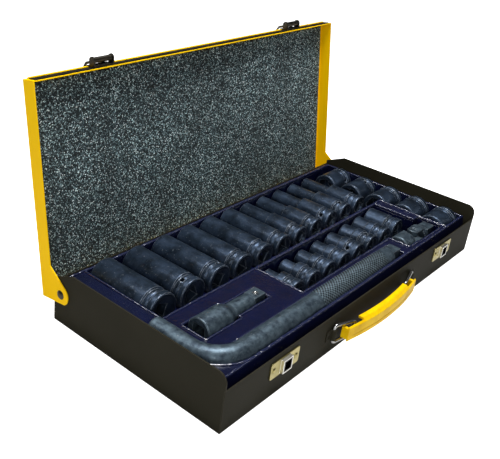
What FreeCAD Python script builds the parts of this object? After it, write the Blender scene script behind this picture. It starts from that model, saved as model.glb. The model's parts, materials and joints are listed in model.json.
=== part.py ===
"""Socket set in a hinged steel case, modelled piece by piece in millimetres.

Frame: +X along the width of the case, the front wall faces -Y, +Z is up, and the
origin is the middle of the underside of the pan. The lid stands open on its stop.
"""
import FreeCAD, Part
import math
import os

from FreeCAD import Vector

# Case, outside sizes and sheet gauges
case_width = 450.0
case_depth = 200.0
plate_height = 56.0
wall_height = 41.0
pan_gauge = 1.0
plate_gauge = 1.2
plate_front_radius = 9.0
plate_back_run = 24.0
plate_back_drop = 11.0
plate_tab = 10.0
plate_tab_end_gap = 4.0
plate_foot_tab = 3.0

# Lid, sizes with the lid shut
lid_gauge = 1.0
lid_side_gap = 0.4
lid_top_gap = 0.3
lid_front_gap = 0.4
lid_back_inset = 1.0
lid_back_side_gap = 1.3
lid_flange_depth = 14.6
lid_back_flange_short = 0.3
lid_ear_radius = 10.0
lid_ear_front_run = 25.0
lid_open_angle = 98.4
hinge_from_back = 10.0
hinge_height = 31.0
hinge_pin_diameter = 6.0
hinge_running_gap = 0.06
hinge_head_diameter = 9.0
hinge_head_height = 1.8
hinge_inner_head_height = 2.2
foam_thickness = 3.0
foam_side_gap = 1.8
foam_front_gap = 3.5
foam_back_gap = 3.0
strip_gauge = 0.8
strip_edge = 2.4
strip_back_edge = 4.6
strip_end_gap = 3.0

# Latches
latch_from_end = 78.0
latch_plate_width = 40.0
latch_plate_height = 16.0
latch_plate_gauge = 1.0
latch_middle_height = 28.0
keeper_size = 13.0
keeper_wall = 2.2
keeper_rise = 3.0
latch_rivet_diameter = 4.0
latch_rivet_spacing = 31.0
rivet_head_diameter = 5.6
rivet_head_height = 1.2
bracket_width = 24.0
bracket_gauge = 1.4
bracket_pin_rise = 6.0
bracket_pin_height = 47.5
bracket_foot_low = 45.2
bracket_foot_high = 55.2
bracket_rivet_height = 51.4
bracket_rivet_spacing = 11.0
hasp_pin_diameter = 3.0
hasp_running_gap = 0.06
hasp_gauge = 1.2
hasp_side_gap = 0.5
hasp_seat_gap = 0.3
hasp_window_gap = 1.2
hasp_window_top_gap = 1.9
hasp_border = 2.6
hasp_knuckle_wall = 1.1
hasp_fold_angle = 230.0

# Carrying handle
handle_leg_spacing = 147.0
handle_height = 22.0
handle_wire_diameter = 3.4
handle_wall_leg = 18.4
handle_grip_leg = 13.0
handle_loop_reach = 26.0
handle_loop_corner = 3.0
handle_rest_angle = 14.0
handle_wall_gap = 0.25
clip_width = 12.0
clip_height = 11.0
clip_gauge = 1.0
clip_wire_gap = 0.15
clip_rivet_offset = 5.6
clip_rivet_diameter = 2.0
clip_rivet_head = 3.4
clip_rivet_rise = 0.8
grip_length = 128.0
grip_height = 19.0
grip_wall = 2.2
grip_middle_reach = 18.0
grip_end_reach = 12.0
grip_back_gap = 4.5
grip_end_stub = 3.5
grip_stub_height = 11.0
grip_slot_gap = 0.8
grip_crease_height = 20.0
grip_crease = 0.8
grip_ridge = 3.0

# Tray
tray_gauge = 2.0
pocket_gauge = 1.6
deck_height = 41.0
tray_foot = 3.5
tray_foot_front = 3.0
tray_foot_back = 2.5
tray_deck_left = 5.5
tray_deck_right = 4.5
tray_deck_front = 10.0
tray_deck_back = 3.5
cradle_height = 22.0
tool_gap = 0.35
pocket_end_gap = 1.5
ridge_width = 3.0
extension_mouth_gap = 5.5
short_mouth_gap = 13.0
ridge_middle = -5.0

# Sockets: size across flats and outside diameter
drive_square = 12.7
drive_gap = 0.1
drive_depth = 17.0
through_bore = 11.0
collar_length = 6.0
band_length = 6.4
groove_length = 0.8
groove_depth = 1.9
socket_chamfer = 0.9
mouth_wall = 3.4
mouth_depth = 3.0
band_inset = 0.7
nose_wall = 2.4
pin_hole_diameter = 4.5
pin_hole_angle = 200.0
pin_hole_step_angle = 47.0
deep_length = 79.0
deep_front = 13.0
deep_side_gap = 33.0
deep_axis = 30.5
deep_large_gap = 4.0
deep_step_share = 0.52
deep_full = [(24, 36.0), (22, 33.5), (21, 32.0), (19, 30.0), (18, 28.5), (17, 27.0)]
deep_stepped = [14, 13, 12, 11, 10]
stepped_collar = 25.0
short_length = 38.0
short_front = -46.0
short_left_share = 0.4533
short_axis = 28.0
short_right_share = 0.2393
short_step_share = 0.56
short_stepped = [10, 11, 12, 13, 14, 15, 16]
short_last = (17, 26.5)
large_length = 38.0
large_side_gap = 7.0
large_back = 72.0
large_axis = 29.5
large_pitch = 35.5
large_full = [(19, 30.0), (20, 31.0), (21, 32.0), (22, 33.0), (23, 33.5)]

# Extension bar
extension_bar_gap = 14.5
extension_length = 85.0
extension_y = -34.5
extension_z = 39.0
extension_head_diameter = 25.0
extension_head_length = 31.0
extension_taper = 10.0
extension_shank_diameter = 17.0
tang_length = 16.0
tang_chamfer = 1.0
ball_diameter = 5.0
ball_rise = 1.4
ball_gap = 0.08
ball_travel = 1.0
spring_gap = 0.3

# Bent drive bar
bar_diameter = 20.0
bar_side_gap = 9.0
bar_leg_end = -6.0
bar_long_y = -76.5
bar_z = 40.0
bar_bend_radius = 30.0
bar_joint_gap = 22.0
bar_end_chamfer = 1.5

# Universal joint
joint_large_gap = 6.0
joint_y = -70.0
joint_z = 33.0
joint_diameter = 25.0
joint_hub_length = 18.0
joint_centre_reach = 31.0
joint_arm_inner = 6.5
joint_arm_half_width = 6.0
joint_spider_size = 11.0
joint_pin_diameter = 6.0
joint_running_gap = 0.05
joint_drive_hub_reach = 13.0
joint_drive_hub_diameter = 20.0
joint_drive_hub_length = 12.0
joint_pocket_gap = 1.7

# Places worked out from the sizes above
half_width = case_width / 2
half_depth = case_depth / 2
hinge_y = half_depth - hinge_from_back
lid_under = plate_height + lid_top_gap
lid_top = lid_under + lid_gauge
lid_low = lid_top - lid_flange_depth
lid_out = half_width + lid_side_gap + lid_gauge
lid_front = -half_depth - lid_front_gap - lid_gauge
lid_back = half_depth - lid_back_inset
strip_front = lid_front - strip_gauge
bracket_pin_y = strip_front - bracket_pin_rise
plate_front = -half_depth - latch_plate_gauge
keeper_front = plate_front - keeper_rise
loop_y = -half_depth - handle_wall_gap - handle_wire_diameter / 2
tray_low = pan_gauge
socket_square = drive_square + 2 * drive_gap
latch_spacing = case_width - 2 * latch_from_end
large_left = half_width - large_side_gap - large_length
joint_length = joint_centre_reach + joint_drive_hub_reach + joint_drive_hub_length + tang_length
joint_left = large_left - joint_large_gap - joint_length
bar_leg_x = -half_width + bar_side_gap + bar_diameter / 2
bar_right = joint_left - bar_joint_gap - tang_length
extension_left = bar_leg_x + bar_diameter / 2 + extension_bar_gap
OVER = 5.0
SMALL = 0.01


def box(x0, x1, y0, y1, z0, z1):
    """A block between two corners."""
    return Part.makeBox(x1 - x0, y1 - y0, z1 - z0, Vector(x0, y0, z0))


def rod(radius, start, along, length):
    """A round bar from a point along a direction."""
    return Part.makeCylinder(radius, length, Vector(*start), Vector(*along))


def join(shapes):
    """One solid from touching or overlapping shapes."""
    whole = shapes[0].fuse(list(shapes[1:])) if len(shapes) > 1 else shapes[0]
    return whole.removeSplitter()


def outline_yz(points, x0, x1):
    """A flat outline of (y, z) points pushed along X."""
    corners = [Vector(x0, y, z) for y, z in points]
    face = Part.Face(Part.makePolygon(corners + corners[:1]))
    return face.extrude(Vector(x1 - x0, 0, 0))


def save(name, shape):
    """Write one piece, and say how many solids it holds."""
    solids = shape.Solids
    whole = solids[0] if len(solids) == 1 else Part.makeCompound(solids)
    whole.exportStep(f"parts/{name}.step")
    print(f"{name}: {len(solids)} solid, {whole.Volume / 1000:.2f} cm3, valid {whole.isValid()}")


def rivet_head(centre, along, diameter, height):
    """A low domed head standing on a face."""
    radius = diameter / 2
    sphere_radius = (radius * radius + height * height) / (2 * height)
    way = Vector(*along)
    middle = Vector(*centre) - way * (sphere_radius - height)
    ball = Part.makeSphere(sphere_radius, middle)
    return ball.common(Part.makeCylinder(radius, height + 1, Vector(*centre), way))


def make_pan():
    """The pan: bottom, front wall and back wall folded from one sheet."""
    g = pan_gauge
    pan = join([
        box(-half_width, half_width, -half_depth, half_depth, 0, g),
        box(-half_width, half_width, -half_depth, -half_depth + g, 0, wall_height),
        box(-half_width, half_width, half_depth - g, half_depth, 0, wall_height),
    ])
    outer = [e for e in pan.Edges if abs(e.Vertexes[0].Z) < SMALL and abs(e.Vertexes[-1].Z) < SMALL
             and abs(abs(e.Vertexes[0].Y) - half_depth) < SMALL and e.Length > case_depth]
    pan = pan.makeFillet(g * 0.9, outer)
    holes = [(place, latch_rivet_diameter) for place in latch_rivet_places()]
    holes += [(place, clip_rivet_diameter) for place in clip_rivet_places()]
    for (x, z), diameter in holes:
        pan = pan.cut(rod(diameter / 2, (x, -half_depth - OVER, z), (0, 1, 0), 2 * OVER))
    return pan


def make_end_plate(side):
    """An end plate with a rounded front corner, a cut back corner and welding tabs."""
    g = plate_gauge
    inner = half_depth - pan_gauge
    radius = plate_front_radius
    top = plate_height
    bend = radius * (1 - math.sqrt(0.5))
    front = -half_depth
    back = half_depth
    lines = [
        (-inner, pan_gauge), (inner, pan_gauge), (inner, wall_height), (back, wall_height),
        (back, top - plate_back_drop), (back - plate_back_run, top), (front + radius, top),
    ]
    points = [Vector(0, y, z) for y, z in lines]
    edges = [Part.LineSegment(a, b).toShape() for a, b in zip(points, points[1:])]
    arc_end = Vector(0, front, top - radius)
    middle = Vector(0, front + bend, top - bend)
    edges.append(Part.Arc(points[-1], middle, arc_end).toShape())
    rest = [arc_end, Vector(0, front, wall_height), Vector(0, -inner, wall_height), points[0]]
    edges += [Part.LineSegment(a, b).toShape() for a, b in zip(rest, rest[1:])]
    sheet = Part.Face(Part.Wire(edges)).extrude(Vector(g, 0, 0))
    low, high = pan_gauge, wall_height - plate_tab_end_gap
    tab = plate_tab
    tabs = [
        box(0, plate_foot_tab, -inner + plate_tab_end_gap, inner - plate_tab_end_gap, low, low + pan_gauge),
        box(0, tab, -inner, -inner + pan_gauge, low + plate_tab_end_gap, high),
        box(0, tab, inner - pan_gauge, inner, low + plate_tab_end_gap, high),
    ]
    plate = join([sheet] + tabs)
    plate = plate.cut(rod(hinge_pin_diameter / 2, (-OVER, hinge_y, hinge_height), (1, 0, 0), 4 * OVER))
    if side > 0:
        plate = plate.mirror(Vector(0, 0, 0), Vector(1, 0, 0))
    plate.translate(Vector(side * half_width, 0, 0))
    return plate


def make_hinge_rivets():
    """Two rivets on one line, each with a head outside the lid and one inside the plate."""
    rivets = []
    for side in (-1, 1):
        away = (side, 0, 0)
        inside = side * (half_width - plate_gauge)
        outside = side * (lid_out + lid_side_gap / 4)
        radius = hinge_pin_diameter / 2
        shank = rod(radius, (inside, hinge_y, hinge_height), away, abs(outside - inside))
        head = rivet_head((outside, hinge_y, hinge_height), away, hinge_head_diameter, hinge_head_height)
        tail = rod(hinge_head_diameter * 0.42, (inside, hinge_y, hinge_height), (-side, 0, 0),
                   hinge_inner_head_height)
        rivets.append(join([shank, head, tail]))
    return Part.makeCompound(rivets)


def open_lid(shape):
    """Swing a piece of the shut lid back to where it rests on its stop."""
    shape.rotate(Vector(0, hinge_y, hinge_height), Vector(1, 0, 0), -lid_open_angle)
    return shape


def make_lid_side(side):
    """A side flange with the ear that hangs on the hinge rivet."""
    rise = lid_low - hinge_height
    start = (hinge_y - lid_ear_front_run, lid_low)
    reach = math.hypot(lid_ear_front_run, rise)
    turn = math.atan2(rise, -lid_ear_front_run) + math.acos(lid_ear_radius / reach)
    touch = (hinge_y + lid_ear_radius * math.cos(turn), hinge_height + lid_ear_radius * math.sin(turn))
    back_run = lid_back - hinge_y
    back_angle = -math.acos(min(1.0, back_run / lid_ear_radius))
    end = (lid_back, hinge_height + lid_ear_radius * math.sin(back_angle))
    half_turn = (turn + back_angle + 2 * math.pi) / 2 if turn < 0 else (turn - 2 * math.pi + back_angle) / 2
    middle = (hinge_y + lid_ear_radius * math.cos(half_turn),
              hinge_height + lid_ear_radius * math.sin(half_turn))
    at = [Vector(0, y, z) for y, z in
          (end, (lid_back, lid_top), (lid_front, lid_top), (lid_front, lid_low), start, touch)]
    edges = [Part.LineSegment(a, b).toShape() for a, b in zip(at, at[1:])]
    edges.append(Part.Arc(at[-1], Vector(0, *middle), at[0]).toShape())
    flange = Part.Face(Part.Wire(edges)).extrude(Vector(lid_gauge, 0, 0))
    hole = hinge_pin_diameter / 2 + hinge_running_gap
    flange = flange.cut(rod(hole, (-OVER, hinge_y, hinge_height), (1, 0, 0), 3 * OVER))
    flange.translate(Vector(-lid_out if side < 0 else lid_out - lid_gauge, 0, 0))
    return flange


def make_lid():
    """The lid: a panel with four flanges, folded from one sheet."""
    g = lid_gauge
    back_half = half_width - plate_gauge - lid_back_side_gap
    shell = join([
        box(-lid_out, lid_out, lid_front, lid_back, lid_under, lid_top),
        box(-lid_out, lid_out, lid_front, lid_front + g, lid_low, lid_top),
        box(-back_half, back_half, lid_back - g, lid_back, lid_low + lid_back_flange_short, lid_top),
        make_lid_side(-1),
        make_lid_side(1),
    ])
    return open_lid(shell)


def make_foam():
    """The pad glued under the lid, drawn in a little round its edge."""
    half = half_width - plate_gauge - foam_side_gap
    low = lid_under - foam_thickness
    pad = box(-half, half, lid_front + foam_front_gap, lid_back - lid_gauge - foam_back_gap, low, lid_under)
    rim = [e for e in pad.Edges if all(abs(v.Z - low) < SMALL for v in e.Vertexes)]
    pad = pad.makeFillet(foam_thickness * 0.5, rim)
    return open_lid(pad)


def make_strip():
    """The dark strip along the outside of the lid's front flange."""
    half = lid_out - strip_end_gap
    return open_lid(box(-half, half, strip_front, lid_front, lid_low + strip_edge, lid_top - strip_back_edge))


def make_latch_plate(side):
    """A plate on the front wall with a raised square keeper."""
    x = side * latch_spacing / 2
    z = latch_middle_height
    wide, tall, half = latch_plate_width / 2, latch_plate_height / 2, keeper_size / 2
    plate = box(x - wide, x + wide, plate_front, -half_depth, z - tall, z + tall)
    rim = [e for e in plate.Edges if abs(e.Vertexes[0].Y - e.Vertexes[-1].Y) > SMALL]
    plate = plate.makeFillet(2.0, rim)
    keeper = box(x - half, x + half, keeper_front, plate_front, z - half, z + half)
    window = half - keeper_wall
    keeper = keeper.cut(box(x - window, x + window, keeper_front - OVER, plate_front, z - window, z + window))
    plate = join([plate, keeper])
    for end in (-1, 1):
        at = (x + end * latch_rivet_spacing / 2, plate_front - OVER, z)
        plate = plate.cut(rod(latch_rivet_diameter / 2, at, (0, 1, 0), 3 * OVER))
    return plate


def wall_rivets(places, diameter, face_y, head_diameter, head_height):
    """Rivets through a fitting and the front wall, domed outside and flat inside."""
    rivets = []
    inside = -half_depth + pan_gauge
    for x, z in places:
        shank = rod(diameter / 2, (x, face_y, z), (0, 1, 0), inside - face_y)
        head = rivet_head((x, face_y, z), (0, -1, 0), head_diameter, head_height)
        tail = rod(head_diameter * 0.42, (x, inside, z), (0, 1, 0), head_height * 0.6)
        rivets.append(join([shank, head, tail]))
    return Part.makeCompound(rivets)


def latch_rivet_places():
    """Where the latch plates are riveted to the front wall."""
    reach = latch_rivet_spacing / 2
    return [(side * latch_spacing / 2 + end * reach, latch_middle_height)
            for side in (-1, 1) for end in (-1, 1)]


def clip_rivet_places():
    """Where the handle clips are riveted to the front wall."""
    return [(side * (handle_leg_spacing / 2 + clip_rivet_offset), handle_height + end * clip_height / 4)
            for side in (-1, 1) for end in (-1, 1)]


def make_bracket(side):
    """A clevis on the lid's front flange that carries the hasp pin."""
    x = side * latch_spacing / 2
    half, g = bracket_width / 2, bracket_gauge
    foot = box(x - half, x + half, strip_front - g, strip_front, bracket_foot_low, bracket_foot_high)
    pin_radius = hasp_pin_diameter / 2
    cheek_round = pin_radius + 2.0
    parts = [foot]
    for end in (-1, 1):
        x0 = x + end * half - (g if end > 0 else 0)
        parts.append(box(x0, x0 + g, bracket_pin_y, strip_front - g / 2,
                         bracket_pin_height - cheek_round + 0.2, bracket_pin_height + cheek_round))
        parts.append(rod(cheek_round, (x0, bracket_pin_y, bracket_pin_height), (1, 0, 0), g))
    bracket = join(parts)
    bracket = bracket.cut(rod(pin_radius, (x - half - OVER, bracket_pin_y, bracket_pin_height), (1, 0, 0),
                              bracket_width + 2 * OVER))
    for end in (-1, 1):
        at = (x + end * bracket_rivet_spacing / 2, strip_front - OVER, bracket_rivet_height)
        bracket = bracket.cut(rod(latch_rivet_diameter / 2, at, (0, 1, 0), 3 * OVER))
    return open_lid(bracket)


def make_bracket_rivets():
    """Rivets that hold both clevises to the lid's front flange."""
    rivets = []
    for side in (-1, 1):
        for end in (-1, 1):
            x = side * latch_spacing / 2 + end * bracket_rivet_spacing / 2
            outside = strip_front - bracket_gauge
            inside = lid_front + lid_gauge
            shank = rod(latch_rivet_diameter / 2, (x, outside, bracket_rivet_height), (0, 1, 0),
                        inside - outside)
            head = rivet_head((x, outside, bracket_rivet_height), (0, -1, 0), rivet_head_diameter,
                              rivet_head_height)
            tail = rod(rivet_head_diameter * 0.42, (x, inside, bracket_rivet_height), (0, 1, 0), 0.6)
            rivets.append(open_lid(join([shank, head, tail])))
    return Part.makeCompound(rivets)


def drill_lid_front(shape):
    """Cut the bracket rivets' holes through a shut-lid piece that is already swung open."""
    for side in (-1, 1):
        for end in (-1, 1):
            x = side * latch_spacing / 2 + end * bracket_rivet_spacing / 2
            hole = rod(latch_rivet_diameter / 2, (x, strip_front - OVER, bracket_rivet_height), (0, 1, 0),
                       OVER + strip_gauge + lid_gauge + 1)
            shape = shape.cut(open_lid(hole))
    return shape


def make_hasp_pins():
    """The two hinge pins of the hasps."""
    pins = []
    for side in (-1, 1):
        x = side * latch_spacing / 2 - bracket_width / 2
        pins.append(open_lid(rod(hasp_pin_diameter / 2, (x, bracket_pin_y, bracket_pin_height), (1, 0, 0),
                                 bracket_width)))
    return Part.makeCompound(pins)


def make_hasp(side):
    """A hasp whose window goes round the keeper, folded back on the open lid."""
    x = side * latch_spacing / 2
    half = bracket_width / 2 - bracket_gauge - hasp_side_gap
    g = hasp_gauge
    seat = plate_front - hasp_seat_gap
    knuckle = hasp_pin_diameter / 2 + hasp_running_gap + hasp_knuckle_wall
    window_half = keeper_size / 2 + hasp_window_gap
    window_top = latch_middle_height + keeper_size / 2 + hasp_window_top_gap
    low = latch_middle_height - window_half - hasp_border
    bend = window_top + hasp_border
    y = bracket_pin_y
    profile = [
        (seat, low), (seat, bend), (y + knuckle * 0.6, bracket_pin_height - knuckle * 0.6),
        (y - knuckle * 0.6, bracket_pin_height - knuckle * 0.6), (seat - g, bend), (seat - g, low),
    ]
    strap = outline_yz(profile, x - half, x + half)
    barrel = rod(knuckle, (x - half, y, bracket_pin_height), (1, 0, 0), 2 * half)
    hasp = join([strap, barrel])
    bore = hasp_pin_diameter / 2 + hasp_running_gap
    hasp = hasp.cut(rod(bore, (x - half - OVER, y, bracket_pin_height), (1, 0, 0), 2 * half + 2 * OVER))
    hasp = hasp.cut(box(x - window_half, x + window_half, seat - OVER, seat + OVER,
                        latch_middle_height - window_half, window_top))
    hasp.rotate(Vector(x, y, bracket_pin_height), Vector(1, 0, 0), -hasp_fold_angle)
    return open_lid(hasp)


def make_clip(side):
    """A pressed clip that holds the upright leg of a handle loop against the wall."""
    x = side * handle_leg_spacing / 2
    inner = handle_wire_diameter / 2 + clip_wire_gap
    outer = inner + clip_gauge
    low = handle_height - clip_height / 2
    wide = clip_width / 2
    flat = box(x - wide, x + wide, -half_depth - clip_gauge, -half_depth, low, low + clip_height)
    flat.translate(Vector(side * (wide - outer - 0.4), 0, 0))
    bridge = rod(outer, (x, loop_y, low), (0, 0, 1), clip_height)
    neck = box(x - outer, x + outer, loop_y, -half_depth, low, low + clip_height)
    clip = join([flat, bridge, neck])
    clip = clip.cut(box(x - clip_width, x + clip_width, -half_depth, -half_depth + OVER, low - 1,
                        low + clip_height + 1))
    clip = clip.cut(rod(inner, (x, loop_y, low - OVER), (0, 0, 1), clip_height + 2 * OVER))
    slot = box(x - inner, x + inner, loop_y, -half_depth + SMALL, low - OVER, low + clip_height + OVER)
    clip = clip.cut(slot)
    for px, pz in clip_rivet_places():
        clip = clip.cut(rod(clip_rivet_diameter / 2, (px, -half_depth - OVER, pz), (0, 1, 0), 2 * OVER))
    return clip


def rounded_outline(corners, radius):
    """A closed outline of (u, w) corners in the XZ plane with rounded corners."""
    edges = []
    ends = []
    count = len(corners)
    for i in range(count):
        at = Vector(corners[i][0], 0, corners[i][1])
        before = Vector(corners[i - 1][0], 0, corners[i - 1][1])
        after = Vector(corners[(i + 1) % count][0], 0, corners[(i + 1) % count][1])
        to_before = (before - at).normalize()
        to_after = (after - at).normalize()
        half = to_before.getAngle(to_after) / 2
        back = radius / math.tan(half)
        inward = (to_before + to_after).normalize()
        middle = at + inward * (radius / math.sin(half) - radius)
        start, end = at + to_before * back, at + to_after * back
        ends.append((start, end))
        edges.append(Part.Arc(start, middle, end).toShape())
    wire = []
    for i in range(count):
        wire.append(edges[i])
        wire.append(Part.LineSegment(ends[i][1], ends[(i + 1) % count][0]).toShape())
    return Part.Wire(wire)


def make_loop(side):
    """A closed wire loop: one leg in its clip, the other inside the grip."""
    wall, grip, reach = handle_wall_leg / 2, handle_grip_leg / 2, handle_loop_reach
    path = rounded_outline([(0, -wall), (reach, -grip), (reach, grip), (0, wall)], handle_loop_corner)
    start = Vector(0, 0, 0)
    legs = [e for e in path.Edges if abs(e.CenterOfMass.x) < SMALL]
    rest = [e for e in path.Edges if abs(e.CenterOfMass.x) >= SMALL]
    upper = Part.LineSegment(Vector(0, 0, max(v.Z for v in legs[0].Vertexes)), start).toShape()
    lower = Part.LineSegment(start, Vector(0, 0, min(v.Z for v in legs[0].Vertexes))).toShape()
    path = Part.Wire(Part.__sortEdges__([lower] + rest + [upper]))
    ring = Part.Wire(Part.makeCircle(handle_wire_diameter / 2, start, Vector(0, 0, 1)))
    wire = path.makePipeShell([ring], True, True)
    wire = wire if wire.Solids else Part.Solid(wire)
    wire.rotate(Vector(0, 0, 0), Vector(0, 0, 1), -handle_rest_angle)
    if side > 0:
        wire = wire.mirror(Vector(0, 0, 0), Vector(1, 0, 0))
    wire.translate(Vector(side * handle_leg_spacing / 2, loop_y, handle_height))
    return wire


def bowed_plate(half, middle_y, end_y, back_y, z0, z1):
    """A plate that is straight at the back and bowed at the front, seen from above."""
    left, right = Vector(-half, end_y, z0), Vector(half, end_y, z0)
    front = Part.Arc(left, Vector(0, middle_y, z0), right).toShape()
    points = [right, Vector(half, back_y, z0), Vector(-half, back_y, z0), left]
    lines = [Part.LineSegment(a, b).toShape() for a, b in zip(points, points[1:])]
    return Part.Face(Part.Wire([front] + lines)).extrude(Vector(0, 0, z1 - z0))


def make_grip():
    """The moulded grip: a bowed hollow bar, open at the back, slotted for the loops."""
    half = grip_length / 2
    low, high = handle_height - grip_height / 2, handle_height + grip_height / 2
    middle, end = -half_depth - grip_middle_reach, -half_depth - grip_end_reach
    back = -half_depth - grip_back_gap
    g = grip_wall
    body = bowed_plate(half, middle, end, back, low, high)
    front_edges = [e for e in body.Edges if e.Length > grip_length
                   and min(v.Y for v in e.Vertexes) < back - 1 and e.Curve.TypeId == "Part::GeomCircle"]
    body = body.makeChamfer(grip_ridge, front_edges)
    bow = grip_middle_reach - grip_end_reach
    body = body.cut(bowed_plate(half, back - bow, back, back + OVER, low - 1, high + 1))
    hollow = bowed_plate(half - g, middle + g, end + g, back + OVER, low + g, high - g)
    body = body.cut(hollow)
    crease = bowed_plate(half + OVER, middle + grip_crease, end + grip_crease, back + OVER,
                         grip_crease_height - grip_crease / 2, grip_crease_height + grip_crease / 2)
    ring = box(-half - 1, half + 1, middle - OVER, back + OVER, grip_crease_height - grip_crease / 2,
               grip_crease_height + grip_crease / 2)
    body = body.cut(ring.cut(crease).cut(box(-half - 1, half + 1, end + g, back + OVER, low, high)))
    wire = handle_wire_diameter
    entry = handle_leg_spacing / 2 - handle_loop_reach - 1.5 * wire
    for side in (-1, 1):
        x0, x1 = sorted((side * entry, side * (half + OVER)))
        for up in (-1, 1):
            arm = handle_height + up * handle_grip_leg / 2
            outer = handle_height + up * (grip_height / 2 + OVER)
            z0, z1 = sorted((arm - up * (wire / 2 + grip_slot_gap), outer))
            slot = bowed_plate(half + OVER, middle + g, end + g, back + OVER, z0, z1)
            body = body.cut(slot.common(box(x0, x1, middle - OVER, back + 2 * OVER, z0 - 1, z1 + 1)))
        stub_x0, stub_x1 = sorted((side * (half - grip_end_stub), side * half))
        stub = box(stub_x0, stub_x1, end + g / 2, back, handle_height - grip_stub_height / 2,
                   handle_height + grip_stub_height / 2)
        body = join([body, stub])
    return body


def socket_profile(length, collar, nose, step):
    """Half the outline of a socket as (along, radius), drive end first."""
    c, d = socket_chamfer, groove_depth
    groove_end = collar_length + groove_length
    band_end = groove_end + band_length
    points = [(0, collar - c), (c, collar), (collar_length, collar), (groove_end - 0.2, collar - d),
              (groove_end, collar - d)]
    after = [(band_end, collar - d), (band_end + 0.2, collar - d), (band_end + groove_length, collar)]
    if step:
        after += [(step, collar), (step + 1.2, nose)]
    after += [(length - c, nose), (length, nose - c)]
    return points, after


def make_socket(length, across_flats, collar_diameter, nose_diameter, step_share, turn):
    """A socket along +Z from its drive face, with square, bore, hexagon and pin hole."""
    collar, nose = collar_diameter / 2, nose_diameter / 2
    step = length * step_share if nose < collar - SMALL else 0
    before, after = socket_profile(length, collar, nose, step)
    corners = [Vector(r, 0, s) for s, r in before]
    rest = [Vector(r, 0, s) for s, r in after]
    edges = [Part.LineSegment(a, b).toShape() for a, b in zip(corners, corners[1:])]
    third = (rest[0].z - corners[-1].z) / 3
    crown = [Vector(collar - band_inset, 0, z) for z in (corners[-1].z + third, rest[0].z - third)]
    arch = [corners[-1]] + crown + [rest[0]]
    edges += [Part.LineSegment(a, b).toShape() for a, b in zip(arch, arch[1:])]
    edges += [Part.LineSegment(a, b).toShape() for a, b in zip(rest, rest[1:])]
    top, bottom = Vector(0, 0, length), Vector(0, 0, 0)
    edges.append(Part.LineSegment(rest[-1], top).toShape())
    edges.append(Part.LineSegment(top, bottom).toShape())
    edges.append(Part.LineSegment(bottom, corners[0]).toShape())
    body = Part.Face(Part.Wire(edges)).revolve(Vector(0, 0, 0), Vector(0, 0, 1), 360)
    half = socket_square / 2
    body = body.cut(box(-half, half, -half, half, -OVER, drive_depth))
    body = body.cut(Part.makeCone(collar - mouth_wall, half * 1.2, mouth_depth))
    bore = min(through_bore, across_flats * 0.92) / 2
    body = body.cut(rod(bore, (0, 0, -OVER), (0, 0, 1), length + 2 * OVER))
    reach = across_flats / math.sqrt(3)
    hexagon = [Vector(reach * math.cos(math.radians(60 * i)), reach * math.sin(math.radians(60 * i)), 0)
               for i in range(6)]
    depth = max(length - drive_depth - 4.0, length * 0.3) if length < 50 else length * 0.42
    prism = Part.Face(Part.makePolygon(hexagon + hexagon[:1])).extrude(Vector(0, 0, depth + OVER))
    prism.translate(Vector(0, 0, length - depth))
    body = body.cut(prism)
    hole_at = collar_length + groove_length + band_length / 2
    body = body.cut(rod(pin_hole_diameter / 2, (0, 0, hole_at), (1, 0, 0), collar + OVER))
    body.rotate(Vector(0, 0, 0), Vector(0, 0, 1), turn)
    return body


def deep_sockets():
    """Every deep socket as (name, x, flats, collar, nose), set side by side."""
    rows = [(flats, diameter, diameter) for flats, diameter in deep_full]
    rows += [(flats, stepped_collar, 2 * (flats / math.sqrt(3) + nose_wall)) for flats in deep_stepped]
    x = -half_width + deep_side_gap
    room = large_left - deep_large_gap - x
    gap = (room - sum(collar for flats, collar, nose in rows)) / (len(rows) - 1)
    placed = []
    for number, (flats, collar, nose) in enumerate(rows, 1):
        placed.append((f"deep_socket_{number:02d}", x + collar / 2, flats, collar, nose))
        x += collar + gap
    return placed


def short_sockets():
    """Every short socket as (name, x, flats, collar, nose), evenly between extension and large sockets."""
    rows = [(flats, stepped_collar, 2 * (flats / math.sqrt(3) + nose_wall)) for flats in short_stepped]
    rows.append((short_last[0], short_last[1], short_last[1]))
    start = extension_left + extension_length
    free = large_left - start - sum(collar for flats, collar, nose in rows)
    first = start + free * short_left_share + rows[0][1] / 2
    last = large_left - free * short_right_share - rows[-1][1] / 2
    pitch = (last - first) / (len(rows) - 1)
    return [(f"short_socket_{i + 1}", first + i * pitch, *row) for i, row in enumerate(rows)]


def large_sockets():
    """Every large socket as (name, y, flats, collar)."""
    return [(f"large_socket_{i + 1}", large_back - i * large_pitch, flats, diameter)
            for i, (flats, diameter) in enumerate(large_full)]


def lay_along_y(shape, x, front, z):
    """Lay a tool made along +Z so that it points back along +Y."""
    shape.rotate(Vector(0, 0, 0), Vector(1, 0, 0), -90)
    shape.translate(Vector(x, front, z))
    return shape


def lay_along_x(shape, left, y, z, flip):
    """Lay a tool made along +Z so that it points along +X, or along -X when flipped."""
    shape.rotate(Vector(0, 0, 0), Vector(0, 1, 0), -90 if flip else 90)
    shape.translate(Vector(left, y, z))
    return shape


def make_tang(x, y, z, length):
    """A drive square along +X with a chamfered end."""
    half = drive_square / 2
    tang = box(x, x + length, y - half, y + half, z - half, z + half)
    end = [e for e in tang.Edges if all(abs(v.X - x - length) < SMALL for v in e.Vertexes)]
    return tang.makeChamfer(tang_chamfer, end)


def ball_place():
    """The middle of the extension's detent ball."""
    x = extension_left + extension_length - tang_length / 2
    return x, extension_y, extension_z + drive_square / 2 + ball_rise - ball_diameter / 2


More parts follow.
